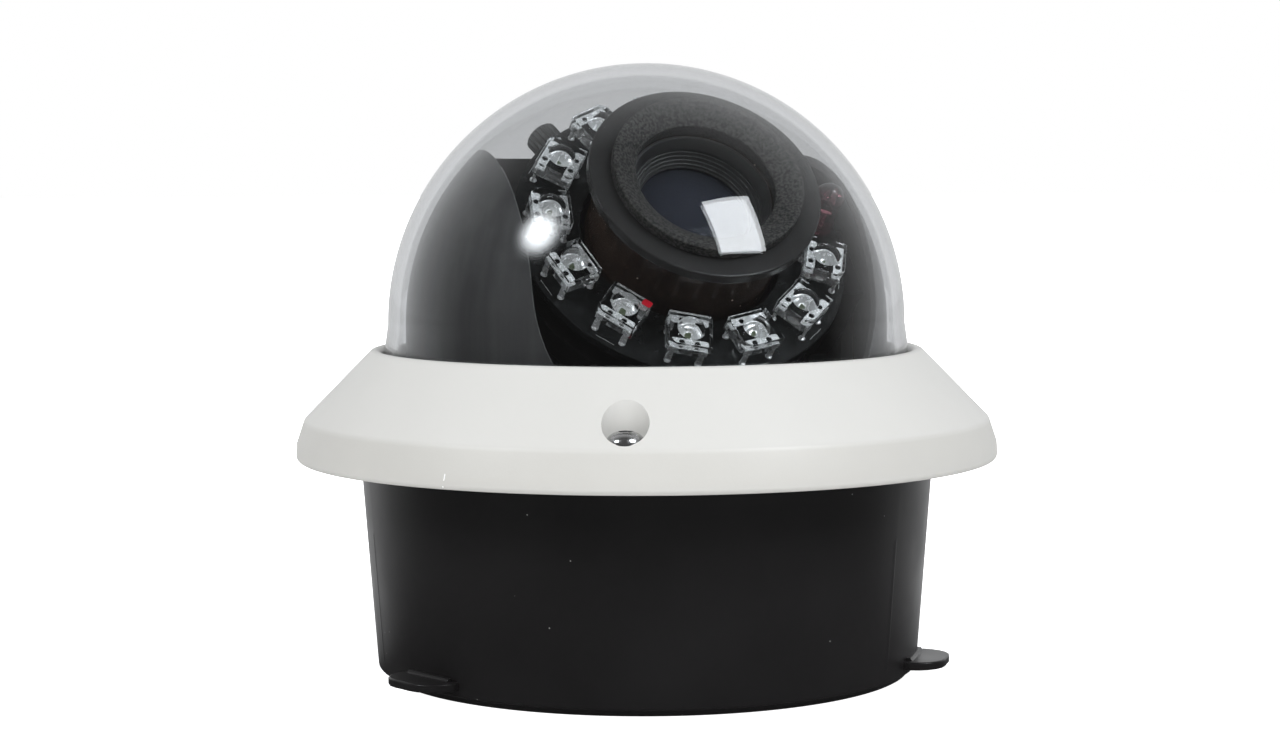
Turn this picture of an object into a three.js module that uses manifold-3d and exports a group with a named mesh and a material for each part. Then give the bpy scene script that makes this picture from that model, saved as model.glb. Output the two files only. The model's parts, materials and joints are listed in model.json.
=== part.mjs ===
// Recessed dome security camera: a black can that sinks into a ceiling, a white trim ring with a
// clear dome, and a varifocal camera with a ring of infrared lamps on a pan, tilt and turn gimbal.
// Millimetres, +Z up, the can standing on its closed end at z = 0, the viewer on the -Y side.

import * as THREE from 'three';
import { mergeVertices } from 'three/addons/utils/BufferGeometryUtils.js';
import Module from 'manifold-3d';

const wasm = await Module();
wasm.setup();

// ---------- driving dimensions ----------

const FINE = 40;                 // sides of the big round pieces
const MEDIUM = 24;               // sides of the lens and gimbal pieces
const SMALL = 8;                // sides of screws and posts
const GAP = 0.3;                 // clearance between pieces that touch

const CAN_BOTTOM_R = 47.1;       // can wall at its lower edge
const CAN_DRAFT = 0.0747;        // growth of the can's radius per millimetre of height
const CAN_EDGE_Z = 2.3;          // where the wall starts, above the recessed foot
const CAN_WALL = 2.2;
const CAN_FLOOR = 2.2;
const FOOT_R = 45.3;             // recessed foot under the wall
const FLANGE_R = 58.0;           // can flange, hidden in the trim ring
const FLANGE_BOTTOM = 38.0;
const FLANGE_TOP = 41.6;
const LUG_WIDTH = 10;
const LUG_TIP_R = 52.5;
const LUG_BOTTOM = 1.7;
const LUG_TOP = 3.45;
const LUG_ANGLES = [105, 225, 345];

const RING_BOTTOM = 37.3;        // trim ring
const RING_R = 60.9;
const RING_SEAT = 42.6;          // its underside over the can flange
const RING_OPENING_R = 45.9;
const COVER_SCREW_R = 55.8;      // pitch radius of the three cover screws
const COVER_SCREW_ANGLES = [266.6, 26.6, 146.6];
const COUNTERBORE_R = 3.75;
const COUNTERBORE_Z = 44.5;
const CLAMP_SCREW_R = 49.9;      // pitch radius of the dome clamp screws
const CLAMP_SCREW_ANGLES = [326.6, 86.6, 206.6];

const BALL_Z = 60.5;             // centre of the dome and of the gimbal
const DOME_R = 44.9;
const DOME_WALL = 2.05;
const SKIRT_R = 45.45;
const DOME_FLANGE_R = 48.5;
const DOME_FLANGE_Z = 48.6;

const LINER_R = 41.8;
const LINER_WALL = 1.2;
const LINER_BOTTOM = 23.0;
const SLOT_HALF = 29.6;          // half the width of the liner's window
const SLOT_END_Z = 67.5;         // centre of the window's round lower end
const SLOT_REAR_Z = 89.5;        // top of the liner behind the camera

const PAN = 20;                  // degrees, camera turned to the viewer's right
const ELEVATION = 40.5;          // degrees above the horizon

const BASE_PLATE = [15.0, 17.5]; // pan bearing, fixed on the can's posts
const TURNTABLE = [20.2, 22.7];
const HUB_R = 13.7;
const POST_ANGLES = [30, 150, 270];
const POST_PITCH_R = 40.4;
const BOARD_SCREW_SPOTS = [[-29, 0], [29, 0]];
const YOKE_X = 34.2;             // inner face of the yoke's arms
const YOKE_THICK = 2.5;
const YOKE_WIDTH = 14;

// Distances along the lens axis from the centre of the gimbal.
const BOARD_Z = [21.3, 22.9];    // lamp board
const BOARD_R = 28.8;
const BOARD_HOLE_R = 17.4;
const LAMP_PITCH_R = 24.0;
const LAMP_SIDE = 7.6;
const LAMP_SEATS = 13;           // twelve lamps and the light sensor
const FIRST_SEAT = 7;            // degrees, the light sensor's seat
const BARREL_R = 16.4;
const DISC_Z = [35.2, 37.1];     // flat disc round the front of the lens
const DISC_R = 19.4;
const FOAM_Z = [37.3, 38.9];
const FOAM_R = [11.75, 16.1];
const LENS_MOUTH_R = 11.9;       // opening through the disc to the front glass
const CARRIAGE_Z = [11.0, 16.0];
const CARRIAGE_R = [21.0, 27.5];
const KNOB_ANGLE = 119;          // rotation lock, seen beyond the lamp board

// ---------- geometry helpers ----------

const rad = THREE.MathUtils.degToRad;
const v2 = (x, y) => new THREE.Vector2(x, y);
const polar = (r, degrees) => [r * Math.cos(rad(degrees)), r * Math.sin(rad(degrees))];

function toSolid(geometry) {
  const bare = geometry.index ? geometry.toNonIndexed() : geometry.clone();
  bare.deleteAttribute('normal');
  bare.deleteAttribute('uv');
  const merged = mergeVertices(bare, 1e-4);
  const index = merged.index.array;
  const triangles = [];
  for (let i = 0; i < index.length; i += 3) {
    const [a, b, c] = [index[i], index[i + 1], index[i + 2]];
    if (a !== b && b !== c && a !== c) triangles.push(a, b, c);
  }
  return new wasm.Manifold(new wasm.Mesh({
    numProp: 3,
    vertProperties: new Float32Array(merged.attributes.position.array),
    triVerts: new Uint32Array(triangles),
  }));
}

function toGeometry(solid) {
  const mesh = solid.getMesh();
  const geometry = new THREE.BufferGeometry();
  geometry.setAttribute('position', new THREE.BufferAttribute(mesh.vertProperties, 3));
  geometry.setIndex(new THREE.BufferAttribute(mesh.triVerts, 1));
  geometry.computeVertexNormals();
  return geometry;
}

// A closed (radius, height) outline turned about Z. The outline runs anticlockwise.
function revolve(outline, sides = FINE) {
  const points = outline.map(([r, z]) => v2(r, z));
  const area = THREE.ShapeUtils.area(points);
  const ordered = area > 0 ? points : points.reverse();
  ordered.push(ordered[0].clone());
  return toSolid(new THREE.LatheGeometry(ordered, sides).rotateX(Math.PI / 2));
}

const disc = (r, z0, z1, sides = FINE) => revolve([[0, z0], [r, z0], [r, z1], [0, z1]], sides);

const tube = (rIn, rOut, z0, z1, sides = FINE) => (
  revolve([[rIn, z0], [rOut, z0], [rOut, z1], [rIn, z1]], sides));

// A box given by its extents along X, Y and Z.
function block([x0, x1], [y0, y1], [z0, z1]) {
  const geometry = new THREE.BoxGeometry(x1 - x0, y1 - y0, z1 - z0);
  return toSolid(geometry.translate((x0 + x1) / 2, (y0 + y1) / 2, (z0 + z1) / 2));
}

const post = (r, z0, z1, [x, y], sides = SMALL) => disc(r, z0, z1, sides).translate([x, y, 0]);

// A flat outline in the XY plane, raised from z0 to z1.
function slab(shape, z0, z1, curveSegments = 12) {
  const options = { depth: z1 - z0, bevelEnabled: false, curveSegments };
  return toSolid(new THREE.ExtrudeGeometry(shape, options).translate(0, 0, z0));
}

// A rectangle centred on (x, y) with rounded corners.
function roundedRectangle(x, y, width, depth, radius) {
  const [w, d] = [width / 2, depth / 2];
  const shape = new THREE.Shape();
  shape.moveTo(x - w + radius, y - d);
  shape.absarc(x + w - radius, y - d + radius, radius, -Math.PI / 2, 0);
  shape.absarc(x + w - radius, y + d - radius, radius, 0, Math.PI / 2);
  shape.absarc(x - w + radius, y + d - radius, radius, Math.PI / 2, Math.PI);
  shape.absarc(x - w + radius, y - d + radius, radius, Math.PI, Math.PI * 1.5);
  return shape;
}

const union = (first, ...others) => others.reduce((sum, next) => sum.add(next), first);
const cut = (first, ...others) => others.reduce((rest, next) => rest.subtract(next), first);

// Points along an arc, in degrees, both ends included.
function arc(cx, cz, r, from, to, steps) {
  const points = [];
  for (let i = 0; i <= steps; i += 1) {
    const a = rad(from + ((to - from) * i) / steps);
    points.push([cx + r * Math.cos(a), cz + r * Math.sin(a)]);
  }
  return points;
}

// ---------- materials ----------

const paint = (color, roughness, metalness = 0, extra = {}) => (
  new THREE.MeshStandardMaterial({ color, roughness, metalness, ...extra }));

const whitePaint = () => paint(0xe9e9e4, 0.45);
const blackPlastic = () => paint(0x1d1d1e, 0.38);
const linerPlastic = () => paint(0x17171a, 0.3);
const clearDome = () => paint(0xdfe3e6, 0.05, 0, { transparent: true, opacity: 0.3 });
const clearEpoxy = () => paint(0xf2f4f4, 0.1, 0, { transparent: true, opacity: 0.6 });
const lensGlass = () => paint(0x30343c, 0.04, 0, { transparent: true, opacity: 0.5 });
const rubber = () => paint(0x1b1b1b, 0.85);
const foam = () => paint(0x474542, 0.95);
const steel = () => paint(0xb9bbbd, 0.3, 1);
const zinc = () => paint(0x9a9da0, 0.4, 1);
const boardBlack = () => paint(0x101413, 0.5);
const boardGreen = () => paint(0x1c4a33, 0.55);
const chip = () => paint(0x17181a, 0.6);
const lensBlack = () => paint(0x242526, 0.5);
const discGrey = () => paint(0x3b3c3e, 0.35);
const barrelBrown = () => paint(0x2b211c, 0.25);
const knobGrey = () => paint(0x3f4340, 0.55);
const sensorRed = () => paint(0x5a1c26, 0.1, 0, { transparent: true, opacity: 0.7 });

// ---------- scene graph ----------

const camera = new THREE.Group();

const panFrame = new THREE.Group();
panFrame.rotation.z = rad(PAN);
camera.add(panFrame);

// +Z of the lens frame looks along the lens, X is the tilt axis.
const lensFrame = new THREE.Group();
lensFrame.position.z = BALL_Z;
lensFrame.rotation.x = rad(90 - ELEVATION);
panFrame.add(lensFrame);

function place(parent, name, solid, material) {
  const mesh = new THREE.Mesh(toGeometry(solid), material);
  mesh.name = name;
  parent.add(mesh);
}

// ---------- can and cover ----------

const canRadius = (z) => CAN_BOTTOM_R + CAN_DRAFT * (z - CAN_EDGE_Z);

// One bayonet lug, its root rounded into the wall.
function lug(angle) {
  const inner = FOOT_R - CAN_WALL / 2;
  const length = LUG_TIP_R - inner;
  const plate = slab(roundedRectangle(inner + length / 2, 0, length, LUG_WIDTH, 2.2),
    LUG_BOTTOM, LUG_TOP, 4);
  const root = new THREE.Shape();
  const face = canRadius(LUG_TOP) - 0.5;
  root.moveTo(face - 1, LUG_TOP - 0.5);
  root.lineTo(face + 1.7, LUG_TOP - 0.5);
  root.lineTo(face + 1.7, LUG_TOP);
  root.absarc(face + 1.7, LUG_TOP + 1.2, 1.2, -Math.PI / 2, -Math.PI, true);
  root.lineTo(face - 1, LUG_TOP + 1.2);
  const fillet = slab(root, -LUG_WIDTH / 2, LUG_WIDTH / 2, 4).rotate([90, 0, 0]);
  return union(plate, fillet).rotate([0, 0, angle]);
}

function canHousing() {
  const top = canRadius(FLANGE_TOP);
  const shell = revolve([
    [0, 0], [FOOT_R - 0.4, 0], [FOOT_R, 0.4], [FOOT_R + 0.2, 1.7],
    ...arc(CAN_BOTTOM_R - 0.6, CAN_EDGE_Z + 0.6, 0.6, -80, 0, 2),
    [canRadius(FLANGE_BOTTOM), FLANGE_BOTTOM], [FLANGE_R, FLANGE_BOTTOM],
    [FLANGE_R, FLANGE_TOP], [top - CAN_WALL, FLANGE_TOP],
    [canRadius(CAN_FLOOR) - CAN_WALL - 0.8, CAN_FLOOR], [0, CAN_FLOOR],
  ]);
  const lugs = LUG_ANGLES.map(lug);
  const posts = POST_ANGLES.map((a) => (
    post(3.6, CAN_FLOOR - 0.5, BASE_PLATE[0] - GAP, polar(POST_PITCH_R, a))));
  const boardPosts = [...BOARD_SCREW_SPOTS, [0, -29]].map((spot) => (
    post(2.6, CAN_FLOOR - 0.5, 5.7, spot)));
  const screwHoles = COVER_SCREW_ANGLES.map((a) => (
    post(1.8, FLANGE_BOTTOM - 1, FLANGE_TOP + 1, polar(COVER_SCREW_R, a))));
  const postHoles = POST_ANGLES.map((a) => post(1.6, 8, 20, polar(POST_PITCH_R, a), 12));
  const boardHoles = BOARD_SCREW_SPOTS.map((spot) => post(1.2, 3, 8, spot, 12));
  const cableHole = post(5.0, -1, CAN_FLOOR + 1, [0, 29], 24);
  const body = union(shell, ...lugs, ...posts, ...boardPosts);
  return cut(body, ...screwHoles, ...postHoles, ...boardHoles, cableHole);
}

function cableGrommet() {
  return revolve([
    [3.1, 0.5], [4.7, 0.5], [4.7, CAN_FLOOR + GAP], [6.8, CAN_FLOOR + GAP],
    [6.8, 4.0], [5.0, 5.2], [3.1, 5.2],
  ], 24).translate([0, 29, 0]);
}

// The slope of the trim ring's face, crease and near upright lower band.
function trimRing() {
  const ring = revolve([
    ...arc(RING_OPENING_R + 1.3, 54.9, 1.3, 180, 48, 3),
    [59.4, 44.3], [59.85, 43.4], [RING_R - 0.15, 40.2],
    ...arc(RING_R - 0.9, RING_BOTTOM + 0.9, 0.9, 0, -90, 2),
    [FLANGE_R + 0.4, RING_BOTTOM], [FLANGE_R + 0.4, RING_SEAT], [51.5, RING_SEAT],
    [51.5, 48.0], [48.8, 48.0], [48.8, 52.0], [RING_OPENING_R, 52.0],
  ]);
  const counterbores = COVER_SCREW_ANGLES.map((a) => (
    post(COUNTERBORE_R, COUNTERBORE_Z, 60, polar(COVER_SCREW_R, a), 32)));
  const screwHoles = COVER_SCREW_ANGLES.map((a) => (
    post(1.8, RING_SEAT - 1, 50, polar(COVER_SCREW_R, a))));
  const clampHoles = CLAMP_SCREW_ANGLES.map((a) => (
    post(0.95, 47, 51, polar(CLAMP_SCREW_R, a), 12)));
  return cut(ring, ...counterbores, ...screwHoles, ...clampHoles);
}

function domeBubble() {
  const inner = DOME_R - DOME_WALL;
  return revolve([
    [SKIRT_R - DOME_WALL, DOME_FLANGE_Z], [DOME_FLANGE_R, DOME_FLANGE_Z],
    [DOME_FLANGE_R, DOME_FLANGE_Z + 2], [SKIRT_R, DOME_FLANGE_Z + 2], [SKIRT_R, 56.5],
    ...arc(0, BALL_Z, DOME_R, 0, 90, 10), ...arc(0, BALL_Z, inner, 90, 0, 10),
    [SKIRT_R - DOME_WALL, 56.5],
  ]);
}

function domeClampRing() {
  const ring = revolve([
    [43.9, 46.0], [51.2, 46.0], [51.2, 47.7], [48.5, 47.7], [48.5, 48.3], [43.9, 48.3],
  ]);
  const holes = CLAMP_SCREW_ANGLES.map((a) => post(1.1, 45, 49, polar(CLAMP_SCREW_R, a), 12));
  return cut(ring, ...holes);
}

// A screw standing on its tip: shank up to the head, head from headZ up.
const screw = (shankR, tipZ, headZ, headR, headHeight, crown = 0.6) => revolve([
  [0, tipZ], [shankR, tipZ], [shankR, headZ], [headR, headZ],
  [headR, headZ + headHeight - crown], [headR * 0.7, headZ + headHeight],
  [0, headZ + headHeight],
], SMALL);

place(camera, 'can_housing', canHousing(), blackPlastic());
place(camera, 'cable_grommet', cableGrommet(), rubber());
place(camera, 'trim_ring', trimRing(), whitePaint());
place(camera, 'cover_gasket', tube(51.9, 53.6, FLANGE_TOP + 0.2, RING_SEAT - 0.2, MEDIUM), rubber());
place(camera, 'dome_bubble', domeBubble(), clearDome());
place(camera, 'dome_gasket', tube(46.2, 48.2, 50.8, 51.8, MEDIUM), rubber());
place(camera, 'dome_clamp_ring', domeClampRing(), blackPlastic());
COVER_SCREW_ANGLES.forEach((angle, i) => {
  const [x, y] = polar(COVER_SCREW_R, angle);
  const solid = screw(1.45, 36.9, COUNTERBORE_Z + 0.15, 3.15, 2.35, 1.0).translate([x, y, 0]);
  place(camera, `cover_screw_${i + 1}`, solid, steel());
});
CLAMP_SCREW_ANGLES.forEach((angle, i) => {
  const [x, y] = polar(CLAMP_SCREW_R, angle);
  const upright = screw(0.75, -4.6, 0, 1.4, 1.2, 0.3);
  const solid = upright.rotate([180, 0, 0]).translate([x, y, 45.8]);
  place(camera, `dome_clamp_screw_${i + 1}`, solid, steel());
});

// ---------- electronics in the can ----------

function mainBoard() {
  const board = disc(35, 6.0, 7.6);
  const notch = post(9, 5, 9, [0, 29], 24);
  const holes = BOARD_SCREW_SPOTS.map((spot) => post(1.4, 5, 9, spot, 12));
  return cut(board, notch, ...holes);
}

place(camera, 'main_board', mainBoard(), boardGreen());
BOARD_SCREW_SPOTS.forEach(([x, y], i) => {
  const solid = screw(1.0, 3.4, 7.9, 2.4, 1.5).translate([x, y, 0]);
  place(camera, `board_screw_${i + 1}`, solid, steel());
});
place(camera, 'video_processor', block([-8, 6], [-9, 5], [7.9, 10.2]), chip());
place(camera, 'power_capacitor', post(4, 7.9, 14, [-24, 6], 20), chip());
place(camera, 'cable_header', block([-7, 7], [14.5, 18.5], [7.9, 11.4]), paint(0xd8d5c8, 0.6));

// ---------- pan bearing ----------

function basePlate() {
  const plate = disc(43.2, ...BASE_PLATE);
  const bore = disc(HUB_R + 0.4, BASE_PLATE[0] - 1, BASE_PLATE[1] + 1, MEDIUM);
  const holes = POST_ANGLES.map((a) => post(1.9, 10, 20, polar(POST_PITCH_R, a)));
  const vents = [0, 90, 180].map((a) => post(5, 10, 20, polar(28, a + 0), 20));
  return cut(plate, bore, ...holes, ...vents);
}

// Turning disc with a hollow hub that drops through the bearing plate.
function turntable() {
  return revolve([
    [9.0, 11.6], [HUB_R, 11.6], [HUB_R, TURNTABLE[0]], [41.2, TURNTABLE[0]],
    [41.2, TURNTABLE[1]], [9.0, TURNTABLE[1]],
  ]);
}

function innerLiner() {
  const inner = LINER_R - LINER_WALL;
  const shell = revolve([
    [LINER_R, LINER_BOTTOM], ...arc(0, BALL_Z, LINER_R, 0, 90, 9),
    ...arc(0, BALL_Z, inner, 90, 0, 9), [inner, LINER_BOTTOM],
  ]);
  const outline = new THREE.Shape();
  outline.moveTo(SLOT_HALF, SLOT_END_Z);
  outline.lineTo(SLOT_HALF, 120);
  outline.lineTo(-SLOT_HALF, 120);
  outline.lineTo(-SLOT_HALF, SLOT_END_Z);
  outline.absarc(0, SLOT_END_Z, SLOT_HALF, Math.PI, Math.PI * 2);
  const window = slab(outline, 0, 60, 14).rotate([90, 0, 0]);
  const rear = block([-SLOT_HALF, SLOT_HALF], [-1, 60], [SLOT_REAR_Z, 120]);
  return cut(shell, window, rear);
}

// U bracket: a foot across the turntable and an arm at each end of the tilt axis.
function yoke() {
  const outer = YOKE_X + YOKE_THICK;
  const footZ = TURNTABLE[1] + GAP;
  const half = YOKE_WIDTH / 2;
  const foot = block([-outer, outer], [-half, half], [footZ, footZ + 2.5]);
  const side = new THREE.Shape();
  side.moveTo(-half, footZ);
  side.lineTo(half, footZ);
  side.lineTo(half, BALL_Z);
  side.absarc(0, BALL_Z, half, 0, Math.PI);
  const arm = slab(side, 0, YOKE_THICK, 10).rotate([90, 0, 90]);
  const bore = disc(2.6, -50, 50, SMALL).rotate([0, 90, 0]).translate([0, 0, BALL_Z]);
  const cableHole = disc(5.5, footZ - 1, footZ + 4, 24);
  const holes = [-22, 22].map((x) => post(1.7, footZ - 1, footZ + 4, [x, 0], 12));
  const body = union(foot, arm.translate([YOKE_X, 0, 0]), arm.translate([-outer, 0, 0]));
  return cut(body, bore, cableHole, ...holes);
}

place(camera, 'pan_base_plate', basePlate(), zinc());
POST_ANGLES.forEach((angle, i) => {
  const [x, y] = polar(POST_PITCH_R, angle);
  const solid = screw(1.3, 9, BASE_PLATE[1] + GAP, 2.6, 1.7).translate([x, y, 0]);
  place(camera, `base_screw_${i + 1}`, solid, steel());
});
place(panFrame, 'pan_turntable', turntable(), blackPlastic());
place(panFrame, 'pan_retainer', tube(HUB_R + GAP, 18, 12.0, BASE_PLATE[0] - GAP, MEDIUM), steel());
place(panFrame, 'inner_liner', innerLiner(), linerPlastic());
place(panFrame, 'yoke', yoke(), zinc());
[-1, 1].forEach((side) => {
  const name = side < 0 ? 'tilt_screw_left' : 'tilt_screw_right';
  const along = screw(2.2, -5.6, 2.8, 3.4, 1.6).rotate([0, 90, 0]);
  const solid = (side > 0 ? along : along.rotate([0, 0, 180])).translate([side * YOKE_X, 0, BALL_Z]);
  place(panFrame, name, solid, steel());
});

// ---------- tilt carriage ----------

const [carriageLow, carriageHigh] = CARRIAGE_Z;
const EAR_X = [30.9, 33.9];

// Ring round the lens with an ear on each side that swings on the yoke.
function tiltCarriage() {
  const half = YOKE_WIDTH / 2;
  const ring = tube(CARRIAGE_R[0], CARRIAGE_R[1], carriageLow, carriageHigh, MEDIUM);
  const bar = cut(
    block([-EAR_X[1], EAR_X[1]], [-half, half], CARRIAGE_Z),
    disc(CARRIAGE_R[0] + 1, carriageLow - 1, carriageHigh + 1, MEDIUM),
  );
  const side = new THREE.Shape();
  side.moveTo(half, carriageHigh);
  side.lineTo(-half, carriageHigh);
  side.lineTo(-half, 0);
  side.absarc(0, 0, half, Math.PI, Math.PI * 2);
  const ear = slab(side, EAR_X[0], EAR_X[1], 10).rotate([90, 0, 90]);
  const mirrored = ear.rotate([0, 0, 180]);
  const bore = disc(2.6, -50, 50, SMALL).rotate([0, 90, 0]);
  const knobBore = disc(1.75, 15, 40, 12).rotate([0, 90, 0]).rotate([0, 0, KNOB_ANGLE]);
  return cut(union(ring, bar, ear, mirrored), bore, knobBore.translate([0, 0, 13.6]));
}

// A ribbed thumb screw along +Z: plain shank, then the knob.
function thumbScrew(shankR, shankFrom, knobFrom, knobTo, knobR, ribs) {
  const knob = new THREE.Shape();
  for (let i = 0; i < ribs * 2; i += 1) {
    const r = i % 2 ? knobR : knobR - 0.35;
    const [x, y] = polar(r, (180 / ribs) * i);
    if (i === 0) knob.moveTo(x, y);
    else knob.lineTo(x, y);
  }
  const head = slab(knob, knobFrom, knobTo);
  const cap = disc(knobR - 0.8, knobTo - 0.5, knobTo + 0.3, SMALL);
  return union(head, cap, disc(shankR, shankFrom, knobFrom + 0.5, 12));
}

function placeRadialKnob(parent, name, solid, angle, z) {
  const lying = solid.rotate([0, 90, 0]).rotate([0, 0, angle]).translate([0, 0, z]);
  place(parent, name, lying, knobGrey());
}

place(lensFrame, 'tilt_carriage', tiltCarriage(), blackPlastic());
placeRadialKnob(lensFrame, 'rotation_lock_knob',
  thumbScrew(1.45, 21.3, 28.4, 34.6, 2.75, 14), KNOB_ANGLE, 13.6);

// ---------- lens carrier and lamp board ----------

// Sleeve that turns in the carriage, with a front flange, two legs and a rear plate.
function lensCarrier() {
  const sleeve = revolve([
    [17.2, 7.8], [20.6, 7.8], [20.6, carriageHigh + GAP], [24.0, carriageHigh + GAP],
    [24.0, 19.4], [17.2, 19.4],
  ], MEDIUM);
  const pads = [62.4, 182.4, 302.4].map((a) => post(1.8, 19.0, BOARD_Z[0] - 0.2, polar(21.8, a), 12));
  const legBox = (side) => block([-5, 5], side > 0 ? [17.5, 20.2] : [-20.2, -17.5], [-20.4, 8.4]);
  const rearPlate = block([-9, 9], [-20.2, 20.2], [-20.4, -18.4]);
  return union(sleeve, ...pads, legBox(1), legBox(-1), rearPlate);
}

function lampBoard() {
  return tube(BOARD_HOLE_R, BOARD_R, ...BOARD_Z, MEDIUM);
}

// Four-lead square lamp: flat body, low round lens, leads into the board.
function lamp() {
  const base = BOARD_Z[1] + 1.5;
  const half = LAMP_SIDE / 2;
  const body = block([-half, half], [-half, half], [base, base + 3.3]);
  const top = base + 3.3;
  const lens = revolve([
    [0, top - 0.5], [2.4, top - 0.5], [2.4, top + 0.3], [1.4, top + 1.6], [0, top + 1.6],
  ], 8);
  const lead = (x, y) => block([x - 0.3, x + 0.3], [y - 0.45, y + 0.45], [BOARD_Z[1] + 0.2, base + 0.3]);
  const spot = half - 0.5;
  return union(body, lens, lead(spot, 2.54), lead(spot, -2.54), lead(-spot, 2.54), lead(-spot, -2.54));
}

const seatAngle = (seat) => FIRST_SEAT + (360 / LAMP_SEATS) * seat;

place(lensFrame, 'lens_carrier', lensCarrier(), blackPlastic());
place(lensFrame, 'rotation_retainer',
  tube(20.9, 23.6, carriageLow - 2.3, carriageLow - GAP, MEDIUM), steel());
place(lensFrame, 'lamp_board', lampBoard(), boardBlack());
for (let seat = 1; seat < LAMP_SEATS; seat += 1) {
  const angle = seatAngle(seat);
  const [x, y] = polar(LAMP_PITCH_R, angle);
  const solid = lamp().rotate([0, 0, angle]).translate([x, y, 0]);
  place(lensFrame, `infrared_lamp_${seat}`, solid, clearEpoxy());
}

function lightSensor() {
  const z = BOARD_Z[1] + GAP;
  const [x, y] = polar(LAMP_PITCH_R + 0.4, FIRST_SEAT);
  return revolve([
    [0, z], [2.9, z], [2.9, z + 1], [2.5, z + 1], ...arc(0, z + 6.1, 2.5, 0, 90, 4),
  ], SMALL).translate([x, y, 0]);
}

place(lensFrame, 'light_sensor', lightSensor(), sensorRed());

// ---------- image sensor and lens ----------

place(lensFrame, 'sensor_board', block([-15, 15], [-16, 16], [-18.1, -16.5]), boardGreen());
place(lensFrame, 'image_sensor', block([-6, 6], [-5, 5], [-16.2, -14.8]), chip());

function lensMount() {
  const foot = slab(roundedRectangle(0, 0, 27, 27, 3), -16.2, -13.6, 3);
  const neck = disc(14.4, -14, -8.0, MEDIUM);
  return cut(union(foot, neck), disc(12.7, -20, 0, MEDIUM));
}

// Fixed barrel that screws into the mount and carries the focus and zoom rings.
function lensBarrel() {
  return revolve([
    [10.8, -14.0], [12.4, -14.0], [12.4, -7.7], [15.8, -7.7], [15.8, -7.0], [14.0, -7.0],
    [14.0, -2.0], [15.8, -2.0], [15.8, -1.2], [14.0, -1.2], [14.0, 4.2], [15.8, 4.2],
    [15.8, 7.6], [10.8, 7.6],
  ], MEDIUM);
}

const FOCUS_RING = [-6.7, -2.3];
const ZOOM_RING = [-0.9, 3.9];

// Turning ring with a boss for its lock knob.
function lensRing([z0, z1], knobAngle) {
  const ring = tube(14.3, 15.9, z0, z1, MEDIUM);
  const mid = (z0 + z1) / 2;
  const boss = block([14.9, 18.4], [-2.6, 2.6], [z0 + 0.2, z1 - 0.2]).rotate([0, 0, knobAngle]);
  const bore = disc(1.3, 10, 20, 12).rotate([0, 90, 0]).rotate([0, 0, knobAngle]);
  return cut(union(ring, boss), bore.translate([0, 0, mid]));
}

function frontBarrel() {
  return revolve([
    [11.2, 7.9], [BARREL_R, 7.9], [BARREL_R, DISC_Z[0] - 0.2], [12.0, DISC_Z[0] - 0.2],
    [12.0, 26.6], [10.6, 26.6], [10.6, 20.0], [11.2, 20.0],
  ], MEDIUM);
}

function lensDisc() {
  return tube(LENS_MOUTH_R, DISC_R, ...DISC_Z, FINE);
}

// Thick element with a domed front face.
function frontGlass() {
  const crown = arc(0, 8.4, 23.2, 61, 90, 4).filter(([r]) => r < 11.4);
  return revolve([
    [0, 26.9], [11.7, 26.9], [11.7, 28.3], ...crown,
  ], MEDIUM);
}

place(lensFrame, 'lens_mount', lensMount(), lensBlack());
place(lensFrame, 'lens_barrel', lensBarrel(), lensBlack());
place(lensFrame, 'focus_ring', lensRing(FOCUS_RING, 200), lensBlack());
place(lensFrame, 'zoom_ring', lensRing(ZOOM_RING, 340), lensBlack());
placeRadialKnob(lensFrame, 'focus_lock_knob',
  thumbScrew(1.0, 16.2, 18.7, 22.6, 2.2, 12), 200, -4.5);
placeRadialKnob(lensFrame, 'zoom_lock_knob',
  thumbScrew(1.0, 16.2, 18.7, 22.6, 2.2, 12), 340, 1.5);
place(lensFrame, 'front_barrel', frontBarrel(), barrelBrown());
place(lensFrame, 'variator_group', disc(10.5, 12.0, 16.0, MEDIUM), lensGlass());
place(lensFrame, 'front_glass', frontGlass(), lensGlass());
place(lensFrame, 'lens_disc', lensDisc(), discGrey());
place(lensFrame, 'foam_ring', tube(FOAM_R[0], FOAM_R[1], ...FOAM_Z, MEDIUM), foam());

export default camera;
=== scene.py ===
import json
import math

import bmesh
import bpy
from mathutils import Matrix, Vector


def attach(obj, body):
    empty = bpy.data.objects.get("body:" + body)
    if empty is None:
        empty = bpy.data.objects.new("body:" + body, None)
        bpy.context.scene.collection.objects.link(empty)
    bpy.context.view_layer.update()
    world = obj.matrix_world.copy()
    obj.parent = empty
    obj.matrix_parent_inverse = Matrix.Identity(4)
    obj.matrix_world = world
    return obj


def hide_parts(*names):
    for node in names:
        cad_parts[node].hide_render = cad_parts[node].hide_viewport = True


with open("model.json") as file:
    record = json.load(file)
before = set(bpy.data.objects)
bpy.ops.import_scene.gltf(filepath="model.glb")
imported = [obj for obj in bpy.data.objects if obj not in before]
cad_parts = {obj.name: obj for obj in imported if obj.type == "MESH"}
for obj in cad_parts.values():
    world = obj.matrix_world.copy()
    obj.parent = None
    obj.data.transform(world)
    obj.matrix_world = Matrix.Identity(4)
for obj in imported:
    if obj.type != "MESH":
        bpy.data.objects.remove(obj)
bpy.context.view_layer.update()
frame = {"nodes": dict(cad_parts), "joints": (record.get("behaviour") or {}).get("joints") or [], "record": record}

# Recessed dome security camera. Meshes are made in millimetres in one of three frames, whose places
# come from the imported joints: CAN stands on the floor, PAN is turned about the vertical to face the
# way the lens looks, and LENS has its Z along the lens and its origin at the gimbal's centre.

MM = 0.001
FINE = 192       # sides of the big round pieces
MEDIUM = 96      # sides of the lens and gimbal pieces
SMALL = 40       # sides of screws, knobs and posts

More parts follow.
